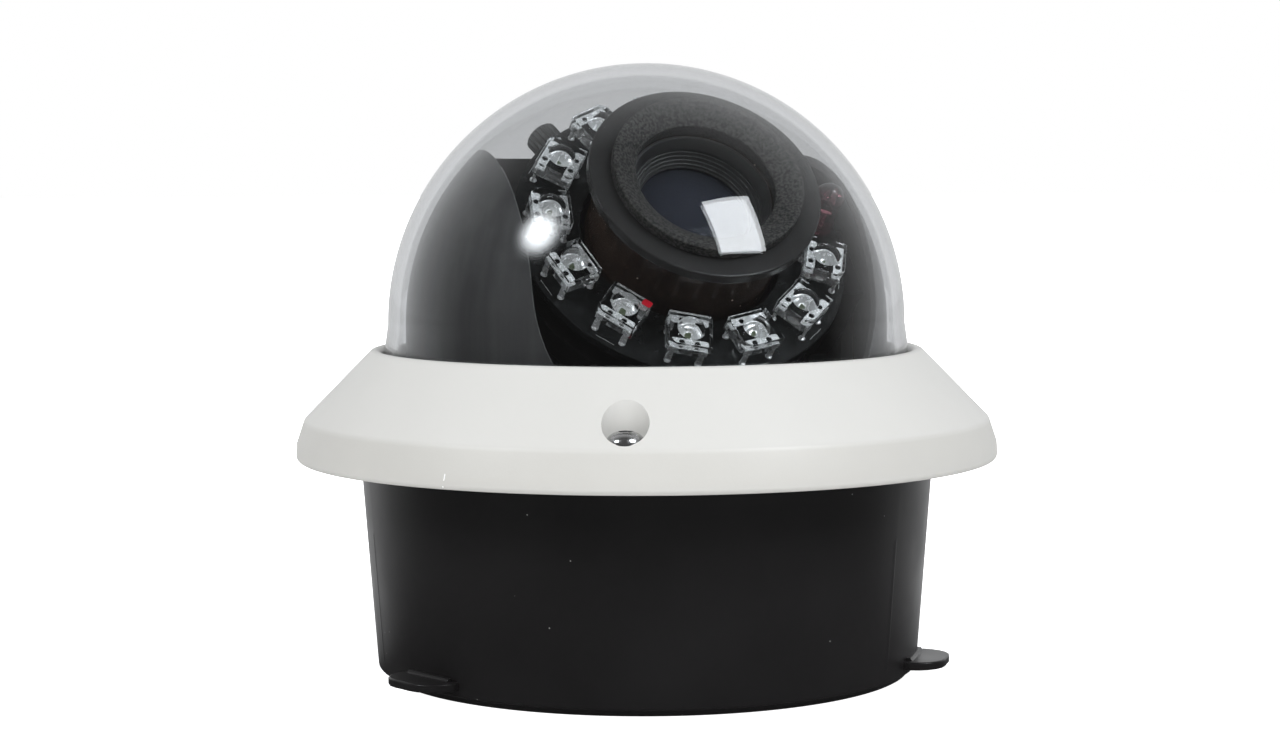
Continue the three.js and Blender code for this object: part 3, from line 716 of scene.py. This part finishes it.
def make_ring():
    """Sloping ring with an upright lower band, hollow below, and a thin chip in the band's paint, white as a
    painted highlight.
    """
    low, high, opening, outer = measure("trim_ring")
    lip_r, can_r, dome_r = 58.4, 51.5, 48.8      # inside the band, round the can, round the dome
    under, can_top, dome_top = 42.6, 48.0, 52.0
    edge_r = 1.3                                 # round edge of the dome's opening
    outline = [
        *arc(opening + edge_r, high - edge_r, edge_r, 180, 48, 12),
        (59.3, 44.4), (59.5, 44.1), (59.62, 43.7), (outer - 0.12, low + 2.9),
        *arc(outer - 0.9, low + 0.9, 0.9, 0, -90, 8),
        (lip_r + 0.1, low), (lip_r, low + 0.1), (lip_r, under), (can_r, under), (can_r, can_top),
        (dome_r, can_top), (dome_r, dome_top), (opening, dome_top),
    ]
    ring = turned(outline, FINE, 0)
    oval = Matrix.Diagonal((0.86, 1, 1, 1))
    bores = []
    for a in COVER_SCREW_ANGLES:
        bores.append(moved(disc(3.75, 44.5, 60, 64, 0), oval, turn(a), at_angle(COVER_SCREW_R - 0.2, a)))
        bores.append(moved(disc(1.8, 40, 50, 32, 0), at_angle(COVER_SCREW_R, a)))
    bores += [moved(disc(0.95, 47, 51, 24, 0), at_angle(CLAMP_SCREW_R, a)) for a in CLAMP_SCREW_ANGLES]
    show("painted_trim_ring", combined(ring, bores), CAN, "trim_ring", sharp=30)
    # The chip is real wear; its whiter colour is a painted highlight.
    chip_angle, chip_height = 238.5, 38.8
    chip = moved(block((-0.3, -0.09, -1.1), (0.02, 0.09, 1.1), 0.01), turn(-11, "X"))
    place = (turn(chip_angle), at_angle(outer - 0.06, chip_angle, chip_height))
    show("paint_chip", moved(chip, *place), CAN, "trim_ring", [chip_white], True)


def make_dome():
    """Clear half ball on a short skirt with a flange."""
    low, high, _, flange_r = measure("dome_bubble")
    centre = gimbal_centre.z / MM
    outer = high - centre
    wall, flange = 2.05, 2
    skirt, skirt_top = outer + 0.55, 56.5
    outline = [
        (skirt - wall, low), (flange_r, low), (flange_r, low + flange), (skirt + 0.1, low + flange),
        (skirt, 52.2), (skirt, skirt_top), *arc(0, centre, outer, 0, 90, 48),
        *arc(0, centre, outer - wall, 90, 0, 48), (skirt - wall, skirt_top),
    ]
    outline = [(max(r, 0.0), z) for r, z in outline]
    show("clear_dome_shell", turned(outline, FINE, 0), CAN, "dome_bubble", sharp=40)


# ---------- screws ----------

def button_screw(head_r, head_height, shank_r, shank_length, socket_r, pin=True):
    """Round head with a hexagon socket, head's underside at z = 0, shank below.

    pin adds the small post in the middle of a tamper-proof socket.
    """
    rim, steps = 0.25, 10
    head = [(0, -0.2), (shank_r, -0.2), (shank_r, 0), (head_r - 0.1, 0), (head_r, rim)]
    for i in range(steps):
        a = math.pi / 2 * i / steps
        head.append((head_r * math.cos(a), rim + (head_height - rim) * math.sin(a)))
    head.append((0, head_height))
    cap = turned(head, SMALL, 0)
    hexagon = [(socket_r * math.cos(a), socket_r * math.sin(a)) for a in even_angles(6)]
    cap = combined(cap, [slab(hexagon, head_height * 0.35, head_height + 1)])
    parts = [cap, thread(shank_r, -shank_length, 0.0)]
    if pin:
        parts.append(disc(socket_r * 0.38, head_height * 0.3, head_height * 0.8, 20, 0.08))
    return heap(parts)


def thread(radius, low, high, pitch=0.5):
    """A threaded shank as rings of small ridges."""
    outline = [(0, low), (radius * 0.6, low)]
    ridges = max(2, int((high - low) / pitch))
    for i in range(ridges):
        z = low + 0.2 + (high - low - 0.2) * i / ridges
        outline += [(radius * 0.82, z), (radius, z + pitch * 0.45)]
    outline += [(radius, high), (0, high)]
    return turned(outline, 24, 0)


def make_screws():
    """Every screw, its head seated on the piece that it holds."""
    cover_seat, clamp_seat, base_seat, board_seat, tilt_seat = 44.65, 45.8, 17.8, 7.9, 37.0
    for i, angle in enumerate(COVER_SCREW_ANGLES):
        node = f"cover_screw_{i + 1}"
        low, high, _, _ = measure(node)
        screw = button_screw(3.15, high - cover_seat, 1.45, cover_seat - low, 1.35)
        show(node + "_button", moved(screw, at_angle(COVER_SCREW_R, angle, cover_seat)), CAN, node)
    for i, angle in enumerate(CLAMP_SCREW_ANGLES):
        node = f"dome_clamp_screw_{i + 1}"
        screw = moved(button_screw(1.4, 1.2, 0.75, 4.6, 0.6, False), turn(180, "X"))
        show(node + "_pan", moved(screw, at_angle(CLAMP_SCREW_R, angle, clamp_seat)), CAN, node)
    for i, angle in enumerate(POST_ANGLES):
        node = f"base_screw_{i + 1}"
        screw = button_screw(2.6, 1.7, 1.3, 8.8, 1.1, False)
        show(node + "_pan", moved(screw, at_angle(POST_R, angle, base_seat)), CAN, node)
    for i, x in enumerate((-BOARD_POST, BOARD_POST)):
        node = f"board_screw_{i + 1}"
        screw = button_screw(2.4, 1.5, 1.0, 4.5, 1.0, False)
        show(node + "_pan", moved(screw, shift(x, 0, board_seat)), CAN, node)
    for side, word in ((-1, "left"), (1, "right")):
        node = f"tilt_screw_{word}"
        screw = moved(button_screw(3.4, 1.6, 2.2, 8.4, 1.5, False), turn(90 * side, "Y"))
        place = shift(side * tilt_seat, 0, gimbal_centre.z / MM)
        show(node + "_button", moved(screw, place), PAN, node)


# ---------- liner ----------

def make_liner():
    """Domed shell whose round-ended window runs up its front and over its top."""
    low, _, _, outer = measure("inner_liner", PAN)
    wall = 1.2
    inner = outer - wall
    centre = gimbal_centre.z / MM
    half, end_z, rear_z = 29.6, 67.5, 89.5       # window's half width, its round end's centre, its back
    above = 120
    shell = turned([
        (outer, low), *arc(0, centre, outer, 0, 90, 36)[:-1], (0, centre + outer), (0, centre + inner),
        *arc(0, centre, inner, 90, 0, 36)[1:], (inner, low),
    ], FINE, 0)
    outline = [(half, above), (-half, above), *arc(0, end_z, half, 180, 360, 48)]
    window = moved(slab(outline, 0, 60), turn(90, "X"))
    rear = block((-half, -1, rear_z), (half, 60, above), 0)
    shell = combined(shell, [window, rear])
    show("gimbal_liner", shell, PAN, "inner_liner", sharp=30)
    # A lighter grey bead along the window's edge: a painted highlight on that edge.
    rises = [0.75 * (i + 1) for i in range(26)]
    edge = [(half, end_z + rise) for rise in reversed(rises)] + arc(0, end_z, half, 0, -180, 72)
    edge += [(-half, end_z + rise) for rise in rises]
    path = []
    for x, z in edge:
        reach = outer * outer - x * x - max(0.0, z - centre) ** 2
        path.append(Vector((x, -math.sqrt(reach) + 0.06, z)))
    show("liner_slot_edge_highlight", bead(path, 0.09), PAN, "inner_liner", [liner_edge], True)


# ---------- lamp board and lamps ----------

SEATS = 13           # the light sensor's and twelve lamps'
FIRST_SEAT = 7.0     # degrees, the light sensor's seat
SENSOR_R = 25.5
LAMP_R = 23.5
MARKED_SEAT = 8      # the lamp with a red mark on one corner
STANDOFF = 2.4       # from the board to the lamp's body
LAMP_BODY = 3.0
LEAD_Y = 2.54


def seat_angle(seat):
    return FIRST_SEAT + 360 / SEATS * seat


def lamp_meshes(board_top, low):
    """Epoxy body with a low round lens, the lead frame inside it, and the die."""
    half, side_half, cut = 3.3, 3.6, 1.1
    base = board_top + STANDOFF
    top = base + LAMP_BODY
    outline = [(half - cut, -side_half), (half, -side_half + cut), (half, side_half),
               (-half + 0.3, side_half), (-half, side_half - 0.3), (-half, -side_half)]
    body = slab(outline, base, top, 0.16, 3)
    lens_r, lens_h = 2.3, 1.35
    crown = [math.pi / 2 * i / 12 for i in range(1, 12)]
    lens = turned([(0, top - 0.6), (lens_r, top - 0.6), (lens_r, top),
                   *[(lens_r * math.cos(a), top + lens_h * math.sin(a)) for a in crown],
                   (0, top + lens_h)], SMALL, 0)
    epoxy = combined(body, [lens], "UNION")
    frame_z, thick = base + 1.3, 0.15
    flat = (frame_z - thick, frame_z + thick)
    parts = []
    for side in (-1, 1):
        bar = slab(rounded_rectangle(1.5, 6.3, 0.45, side * 2.3), *flat, 0.05)
        holes = [moved(disc(0.5, frame_z - 1, frame_z + 1, 20, 0), shift(side * 2.3, y))
                 for y in (-1.3, 1.3)]
        parts.append(combined(bar, holes))
        for y in (-LEAD_Y, LEAD_Y):
            x = side * (half - 0.4)
            parts.append(block((x - 0.16, y - 0.7, base + 0.15), (x + 0.16, y + 0.7, frame_z), 0.06))
            lead = [(-0.56, low), (0.56, low), (0.52, base - 0.9), (0.36, base + 0.25),
                    (-0.36, base + 0.25), (-0.52, base - 0.9)]
            upright = (turn(90, "X"), turn(90), shift(x, y))
            parts.append(moved(slab(lead, -0.17, 0.17, 0.06), *upright))
    arm = slab(rounded_rectangle(1.4, 1.3, 0.3, -1.4), *flat, 0.05)
    finger = slab([(1.8, -1.0), (1.8, 1.0), (1.4, 0.4), (1.4, -0.4)], *flat, 0.05)
    cup = turned([(0, frame_z - 0.4), (1.15, frame_z - 0.4), (1.45, frame_z + 0.3),
                  (1.25, frame_z + 0.3), (0.6, frame_z - 0.15), (0, frame_z - 0.15)], SMALL, 0.05)
    parts += [arm, finger, cup]
    die = block((-0.3, -0.3, frame_z - 0.13), (0.3, 0.3, frame_z + 0.08), 0.03)
    return epoxy, heap(parts), die


def make_lamps():
    """Twelve lamps round the barrel, one of them marked."""
    _, board_top, _, _ = measure("lamp_board", LENS)
    for seat in range(1, SEATS):
        node = f"infrared_lamp_{seat}"
        low, _, _, _ = measure(node, LENS)
        meshes = list(lamp_meshes(board_top, low))
        used = [MATERIALS["clear_epoxy"], lead_metal, chip_dark]
        if seat == MARKED_SEAT:
            top = board_top + STANDOFF + LAMP_BODY
            meshes.append(slab(rounded_rectangle(1.3, 1.6, 0.3, -2.5, 2.75), top - 0.03, top + 0.06, 0.02))
            used.append(red_mark)
        lamp = moved(joined(*meshes), turn(seat_angle(seat)), at_angle(LAMP_R, seat_angle(seat)))
        show(node + "_detailed", lamp, LENS, node, used, sharp=20)


def make_board():
    """The ring-shaped board, a solder pad under each lead and a printed line outside each lamp."""
    low, high, hole, outer = measure("lamp_board", LENS)
    board = tube(hole, outer - 0.3, low, high, FINE, 0.08)
    show("lamp_board_masked", board, LENS, "lamp_board")
    prints, solder = [], []
    for seat in range(1, SEATS):
        place = (turn(seat_angle(seat)), at_angle(LAMP_R, seat_angle(seat)))
        for y in (-LEAD_Y, LEAD_Y):
            for x in (-2.9, 2.9):
                pad = turned([(0, high - 0.02), (0.62, high - 0.02), (0.5, high + 0.2), (0, high + 0.3)],
                             24, 0.05)
                solder.append(moved(pad, shift(x, y), *place))
        line = block((4.0, -1.7, high), (4.1, 1.7, high + 0.03), 0)
        prints.append(moved(line, *place))
    show("lamp_board_solder", heap(solder), LENS, "lamp_board", [lead_metal], True)
    show("lamp_board_print", heap(prints), LENS, "lamp_board", [print_white], True)


def make_light_sensor():
    """A round red lens over two posts and a small plate."""
    low, high, _, _ = measure("light_sensor", LENS)
    flange_r, lens_r = 2.9, 2.6
    outline = [(0, low), (flange_r, low), (flange_r, low + 1), (lens_r, low + 1.05),
               *arc(0, high - lens_r, lens_r, 0, 90, 14)[:-1], (0, high)]
    body = turned(outline, SMALL, 0)
    inside = [block((-0.25, -0.9, low + 0.3), (0.25, -0.4, low + 4.2), 0.05),
              block((-0.25, 0.4, low + 0.3), (0.25, 0.9, low + 3.6), 0.05),
              block((-0.6, -1.1, low + 3.9), (0.6, 0.1, low + 4.3), 0.05)]
    whole = moved(joined(body, heap(inside)), turn(FIRST_SEAT), at_angle(SENSOR_R, FIRST_SEAT))
    show("light_sensor_lens", whole, LENS, "light_sensor", [MATERIALS["red_epoxy"], lead_metal])


# ---------- lens ----------

def make_lens():
    """Disc, foam ring, barrel and glass at the front of the lens."""
    low, high, inner, outer = measure("lens_disc", LENS)
    show("lens_front_disc", tube(inner, outer, low, high, FINE, 0.35), LENS, "lens_disc")
    low, high, inner, outer = measure("foam_ring", LENS)
    rim = outer - 0.2
    show("foam_light_seal", turned([
        (inner, low), (rim, low), (rim, high + 0.3), (rim - 0.8, high + 0.3), (inner, high - 1.4),
    ], FINE, 0.25), LENS, "foam_ring")
    low, high, _, outer = measure("front_barrel", LENS)
    throat, seat, mouth = 10.6, 11.2, 12.0       # inner radii behind the glass, at the back and in front
    throat_low, throat_high = 20.0, 26.6
    show("front_barrel_turned", turned([
        (seat, low), (outer, low), (outer, high), (mouth, high), (mouth, throat_high),
        (throat, throat_high), (throat, throat_low), (seat, throat_low),
    ], FINE, 0.3), LENS, "front_barrel")
    low, high, _, rim = measure("front_glass", LENS)
    radius, edge = 23.2, 11.4                    # the crown's curve and its edge
    radii = [edge * (1 - i / 24) for i in range(24)]
    crown = [(r, high - radius + math.sqrt(radius * radius - r * r)) for r in radii]
    glass = turned([(0, low), (rim, low), (rim, low + 1.4), *crown, (0, high)], FINE, 0)
    show("front_glass_polished", glass, LENS, "front_glass")
    r, z = 10.9, 32.4
    steps = [(11.95, 29.3), (11.95, 34.9), (11.5, 34.9), (11.1, 33.4), (r, z + 0.5)]
    for _ in range(4):
        steps += [(r, z), (r - 0.22, z), (r - 0.3, z - 0.4)]
        r -= 0.38
        z -= 0.55
    steps += [(r - 0.1, z), (r - 0.1, z - 0.35)]
    ring = turned(steps, FINE, 0.05)
    show("glass_retaining_ring", ring, LENS, "front_barrel", [MATERIALS["lens_black"]], True)


# ---------- knobs ----------

def fluted_knob(shank_r, shank_from, low, high, radius, flutes):
    """A round knob with ribs along its side, on a threaded shank."""
    depth, edge = 0.36, 0.4

    def flute(r, a, z):
        return r - depth * abs(math.sin(a * flutes / 2)) ** 0.6 if r > radius - 0.3 else r

    head = turned([(0, low), (radius - 0.5, low), (radius, low + edge), (radius, high - edge),
                   (radius - 0.5, high), (radius - 0.9, high), (radius - 1.1, high + 0.3),
                   (0, high + 0.3)], flutes * 10, 0, shape=flute)
    return heap([head, thread(shank_r, shank_from, low + 0.2)])


def make_knobs():
    """The rotation lock beside the lamps, and the small locks of the focus and zoom rings."""
    lying = turn(90, "Y")
    knob = fluted_knob(shank_r=1.45, shank_from=21.3, low=29.0, high=35.6, radius=2.95, flutes=20)
    place = (lying, turn(117.2), shift(0, 0, 13.7))
    show("rotation_lock_thumb_screw", moved(knob, *place), LENS, "rotation_lock_knob")
    for node, angle, z in (("focus_lock_knob", 200, -4.5), ("zoom_lock_knob", 340, 1.5)):
        knob = fluted_knob(shank_r=1.0, shank_from=16.2, low=18.7, high=22.6, radius=2.2, flutes=14)
        show(node + "_fluted", moved(knob, lying, turn(angle), shift(0, 0, z)), LENS, node)


# ---------- gimbal, boards and gaskets ----------

def rounded_copy(node, width):
    """The CAD piece with its flat faces made whole and its hard edges rounded by width mm."""
    work = bmesh.new()
    work.from_mesh(frame["nodes"][node].data)
    bmesh.ops.transform(work, matrix=CAN.inverted(), verts=work.verts)
    bmesh.ops.remove_doubles(work, verts=work.verts, dist=1e-4)
    bmesh.ops.dissolve_limit(work, angle_limit=math.radians(1), verts=work.verts, edges=work.edges)
    bmesh.ops.recalc_face_normals(work, faces=work.faces)
    hard = [e for e in work.edges if e.is_manifold and e.calc_face_angle(0) > math.radians(30)]
    bmesh.ops.bevel(work, geom=hard, offset=width, segments=3, profile=0.6, affect="EDGES",
                    clamp_overlap=True)
    bmesh.ops.triangulate(work, faces=[f for f in work.faces if len(f.verts) > 4])
    mesh = bpy.data.meshes.new(node)
    work.to_mesh(mesh)
    work.free()
    return mesh


ROUNDED = {          # node and the width of its rounded edges
    "cable_header": 0.12, "image_sensor": 0.06, "sensor_board": 0.05, "main_board": 0.05,
    "power_capacitor": 0.25, "video_processor": 0.1, "cover_gasket": 0.15, "dome_gasket": 0.15,
    "dome_clamp_ring": 0.2, "cable_grommet": 0.3, "focus_ring": 0.15, "zoom_ring": 0.15,
    "lens_barrel": 0.2, "lens_carrier": 0.2, "lens_mount": 0.2, "pan_base_plate": 0.2,
    "pan_retainer": 0.15, "pan_turntable": 0.2, "rotation_retainer": 0.15, "tilt_carriage": 0.25,
    "variator_group": 0.15, "yoke": 0.25,
}


def make_rounded():
    for node, width in ROUNDED.items():
        show(node + "_finished", rounded_copy(node, width), CAN, node, sharp=25)


# ---------- floor ----------

def floor_material():
    """Matt white that glows a little, more so far from the object and where the camera sees it.

    In reflections it only glows, dimmer in front of the object and brighter behind it like the room.
    """
    made, tree, shader = new_material("floor_white")
    shader.inputs["Roughness"].default_value = 0.95
    shader.inputs["Specular IOR Level"].default_value = 0.0
    tone = spread(tree, noise(tree, 300, 2), 0, 1)
    tint = blend_colour(tree, tone, (0.80, 0.80, 0.80), (0.82, 0.82, 0.82))
    tree.links.new(tint, shader.inputs["Base Color"])
    far = add(tree, "ShaderNodeVectorMath", links={0: coordinates(tree)}, operation="LENGTH")
    glow = spread(tree, far.outputs["Value"], 0.34, 1.3, 0.10, 0.75)
    path = add(tree, "ShaderNodeLightPath")
    direct = {0: path.outputs["Is Camera Ray"]}
    seen = add(tree, "ShaderNodeMath", {1: 0.7}, direct, operation="MULTIPLY")
    total = add(tree, "ShaderNodeMath", links={0: glow, 1: seen.outputs[0]}, operation="ADD")
    strength = {"Strength": total.outputs[0]}
    light = add(tree, "ShaderNodeEmission", {"Color": (1, 1, 1, 1)}, strength)
    lit = add(tree, "ShaderNodeAddShader", links={0: shader.outputs[0], 1: light.outputs[0]})
    toward = add(tree, "ShaderNodeVectorMath", links={0: coordinates(tree)}, operation="NORMALIZE")
    parts = add(tree, "ShaderNodeSeparateXYZ", links={0: toward.outputs[0]})
    start, end = (2 * position - 1 for position in ROOM_RAMP)
    behind = spread(tree, parts.outputs["Y"], ROOM_FRONT[0], 0.80, start, end)
    dim = add(tree, "ShaderNodeEmission", {"Color": (0.98, 0.99, 1, 1)}, {"Strength": behind})
    bounces = {0: path.outputs["Glossy Depth"]}
    mirrored = add(tree, "ShaderNodeMath", {1: 0.5}, bounces, operation="GREATER_THAN")
    links = {0: mirrored.outputs[0], 1: lit.outputs[0], 2: dim.outputs[0]}
    mix = add(tree, "ShaderNodeMixShader", links=links)
    tree.links.new(mix.outputs[0], tree.nodes["Material Output"].inputs["Surface"])
    return made


def make_floor():
    """A wide flat disc just under the can."""
    reach, thick, gap = 6000, 20, 0.05
    outline = [(reach * math.cos(a), reach * math.sin(a)) for a in even_angles(96)]
    mesh = slab(outline, -thick, -gap)
    mesh.transform(CAN)
    floor = bpy.data.objects.new("floor", mesh)
    bpy.context.scene.collection.objects.link(floor)
    mesh.materials.append(floor_material())


make_floor()
make_can()
make_ring()
make_dome()
make_screws()
make_liner()
make_board()
make_lamps()
make_light_sensor()
make_lens()
make_knobs()
make_rounded()
